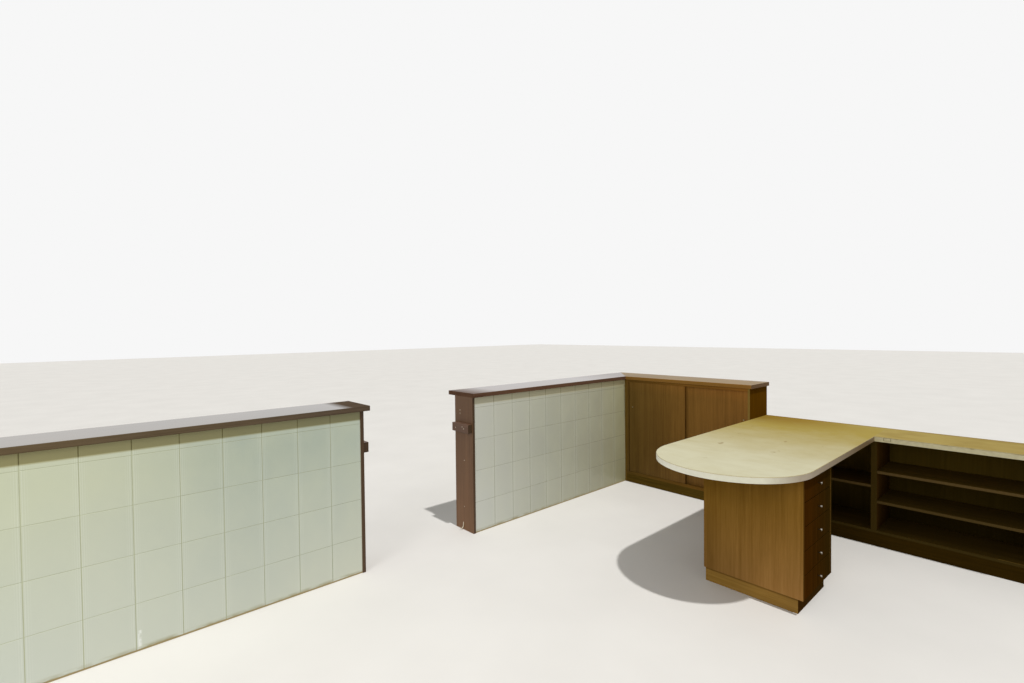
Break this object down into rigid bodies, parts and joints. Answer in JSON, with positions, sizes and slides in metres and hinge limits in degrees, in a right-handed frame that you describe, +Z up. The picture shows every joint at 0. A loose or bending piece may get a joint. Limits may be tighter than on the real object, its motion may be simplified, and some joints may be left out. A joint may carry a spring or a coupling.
{
  "type": "built-in shop counter",
  "caption": "Built-in shop counter: tiled half-walls with dark capping either side of a staff passage, a sliding-door cupboard, a round-ended desk on drawers and a shelved bench.",
  "frame": {"origin": "on the floor, in the middle of the counter's overall length and depth", "axes": "+X along the tiled walls towards the room wall behind the cupboard and bench, +Y to the customers' side, +Z up"},
  "size_m": [5.3, 3.392, 1.1],
  "materials": {
    "blockwork": "matte",
    "wall_tiles": "gloss",
    "dark_laminate": "satin",
    "red_brown_board": "satin",
    "walnut_laminate": "satin",
    "cream_laminate": "satin",
    "drawer_white": "satin",
    "knob_metal": "polished",
    "hardwood": "satin"
  },
  "bodies": {
    "counter": {"bench_back": "walnut_laminate", "bench_base": "walnut_laminate", "bench_desk_shelves": "walnut_laminate", "bench_ends": "walnut_laminate", "bench_open_shelves": "walnut_laminate", "bench_plinth": "walnut_laminate", "bench_top": "cream_laminate", "bench_upright": "walnut_laminate", "cupboard_back": "walnut_laminate", "cupboard_base": "walnut_laminate", "cupboard_capping": "dark_laminate", "cupboard_filler": "walnut_laminate", "cupboard_head_rail": "walnut_laminate", "cupboard_left_end": "walnut_laminate", "cupboard_plinth": "walnut_laminate", "cupboard_right_end": "walnut_laminate", "cupboard_shelf": "walnut_laminate", "cupboard_track": "walnut_laminate", "desk_top": "cream_laminate", "drawer_runners": "hardwood", "left_capping": "dark_laminate", "left_customer_tiles": "wall_tiles", "left_end_board": "red_brown_board", "left_flap_batten": "red_brown_board", "left_staff_tiles": "wall_tiles", "left_wall_core": "blockwork", "pedestal_back": "walnut_laminate", "pedestal_base": "walnut_laminate", "pedestal_plinth": "walnut_laminate", "pedestal_rails": "walnut_laminate", "pedestal_sides": "walnut_laminate", "right_capping": "dark_laminate", "right_customer_tiles": "wall_tiles", "right_end_board": "red_brown_board", "right_flap_batten": "red_brown_board", "right_staff_tiles": "wall_tiles", "right_wall_core": "blockwork"},
    "drawer_1": {"drawer_1_box": "drawer_white", "drawer_1_front": "walnut_laminate", "drawer_1_knob": "knob_metal"},
    "drawer_2": {"drawer_2_box": "drawer_white", "drawer_2_front": "walnut_laminate", "drawer_2_knob": "knob_metal"},
    "drawer_3": {"drawer_3_box": "drawer_white", "drawer_3_front": "walnut_laminate", "drawer_3_knob": "knob_metal"},
    "drawer_4": {"drawer_4_box": "drawer_white", "drawer_4_front": "walnut_laminate", "drawer_4_knob": "knob_metal"},
    "drawer_5": {"drawer_5_box": "drawer_white", "drawer_5_front": "walnut_laminate", "drawer_5_knob": "knob_metal"},
    "left_door": {"cupboard_left_door": "walnut_laminate", "cupboard_left_pull": "knob_metal"},
    "right_door": {"cupboard_right_door": "walnut_laminate", "cupboard_right_pull": "knob_metal"}
  },
  "joints": [
    {"name": "drawer_1_slide", "type": "slide", "parent": "counter", "child": "drawer_1", "axis": [0, -1, 0], "range_m": [0, 0.4]},
    {"name": "drawer_2_slide", "type": "slide", "parent": "counter", "child": "drawer_2", "axis": [0, -1, 0], "range_m": [0, 0.4]},
    {"name": "drawer_3_slide", "type": "slide", "parent": "counter", "child": "drawer_3", "axis": [0, -1, 0], "range_m": [0, 0.4]},
    {"name": "drawer_4_slide", "type": "slide", "parent": "counter", "child": "drawer_4", "axis": [0, -1, 0], "range_m": [0, 0.4]},
    {"name": "drawer_5_slide", "type": "slide", "parent": "counter", "child": "drawer_5", "axis": [0, -1, 0], "range_m": [0, 0.4]},
    {"name": "left_door_slide", "type": "slide", "parent": "counter", "child": "left_door", "axis": [0, -1, 0], "range_m": [0, 0.58]},
    {"name": "right_door_slide", "type": "slide", "parent": "counter", "child": "right_door", "axis": [0, -1, 0], "range_m": [-0.58, 0]}
  ]
}
